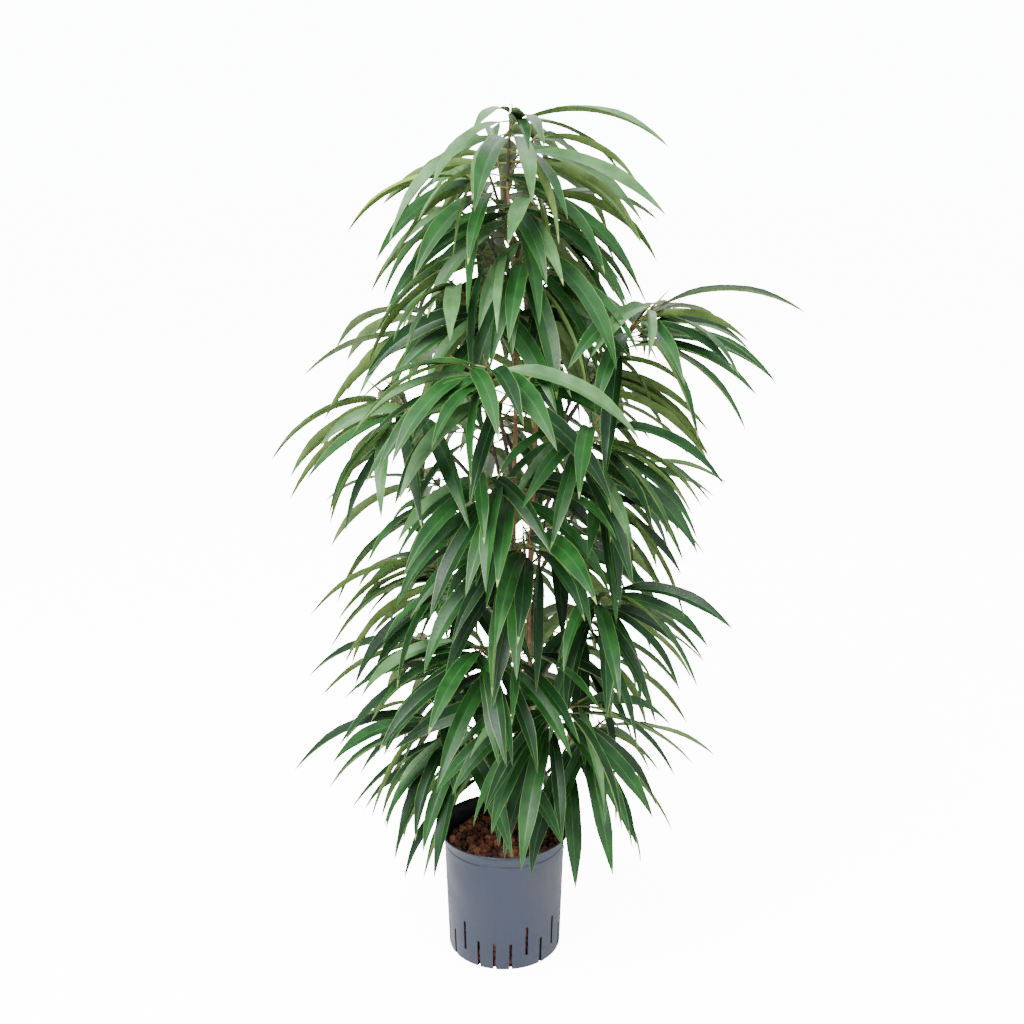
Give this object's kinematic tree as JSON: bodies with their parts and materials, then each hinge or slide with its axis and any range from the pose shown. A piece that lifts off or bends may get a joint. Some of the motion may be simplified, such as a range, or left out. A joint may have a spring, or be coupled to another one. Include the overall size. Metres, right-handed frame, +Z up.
{
  "type": "alii ficus",
  "caption": "Upright potted plant with two slim stems, rising boughs and masses of long drooping leaves, in a slotted round pot of clay granules.",
  "frame": {"origin": "centre of the pot's flat underside, on the surface that it stands on", "axes": "+Z up along the stems; +X to the right and -Y to the front of the picture's view"},
  "size_m": [0.6462, 0.6042, 1.1164],
  "materials": {
    "pot": "grey-blue moulded plastic outside, near black inside",
    "clay_granules": "baked clay granules, matt red-brown",
    "stem_bark": "smooth warm brown bark with small lenticels and rings",
    "bough_bark": "young brown to green bark",
    "dry_wood": "pale dry pruned wood",
    "foliage": "glossy dark green leaves with pale midribs and olive undersides"
  },
  "bodies": {
    "root": {"pot": "pot", "granule_fill": "clay_granules", "stem_main": "stem_bark", "stem_side": "stem_bark", "dry_stub": "dry_wood", "bough_09": "bough_bark", "bough_10": "bough_bark", "bough_11": "bough_bark", "bough_12": "bough_bark", "bough_13": "bough_bark", "bough_14": "bough_bark", "bough_15": "bough_bark", "bough_16": "bough_bark", "bough_17": "bough_bark", "bough_18": "bough_bark", "bough_19": "bough_bark", "bough_20": "bough_bark", "bough_21": "bough_bark", "bough_22": "bough_bark", "bough_23": "bough_bark", "bough_24": "bough_bark", "bough_25": "bough_bark", "bough_26": "bough_bark", "bough_27": "bough_bark", "bough_28": "bough_bark", "bough_29": "bough_bark", "bough_30": "bough_bark", "foliage_01": "foliage", "foliage_02": "foliage", "foliage_03": "foliage", "foliage_04": "foliage", "foliage_05": "foliage", "foliage_06": "foliage", "foliage_07": "foliage", "foliage_08": "foliage", "foliage_09": "foliage", "foliage_10": "foliage", "foliage_11": "foliage", "foliage_12": "foliage", "foliage_13": "foliage", "foliage_14": "foliage", "foliage_15": "foliage", "foliage_16": "foliage", "foliage_17": "foliage", "foliage_18": "foliage", "foliage_19": "foliage", "foliage_20": "foliage", "foliage_21": "foliage", "foliage_22": "foliage", "foliage_23": "foliage", "foliage_24": "foliage", "foliage_25": "foliage", "foliage_26": "foliage", "foliage_27": "foliage", "foliage_28": "foliage", "foliage_29": "foliage", "foliage_30": "foliage", "foliage_31": "foliage"}
  },
  "joints": []
}
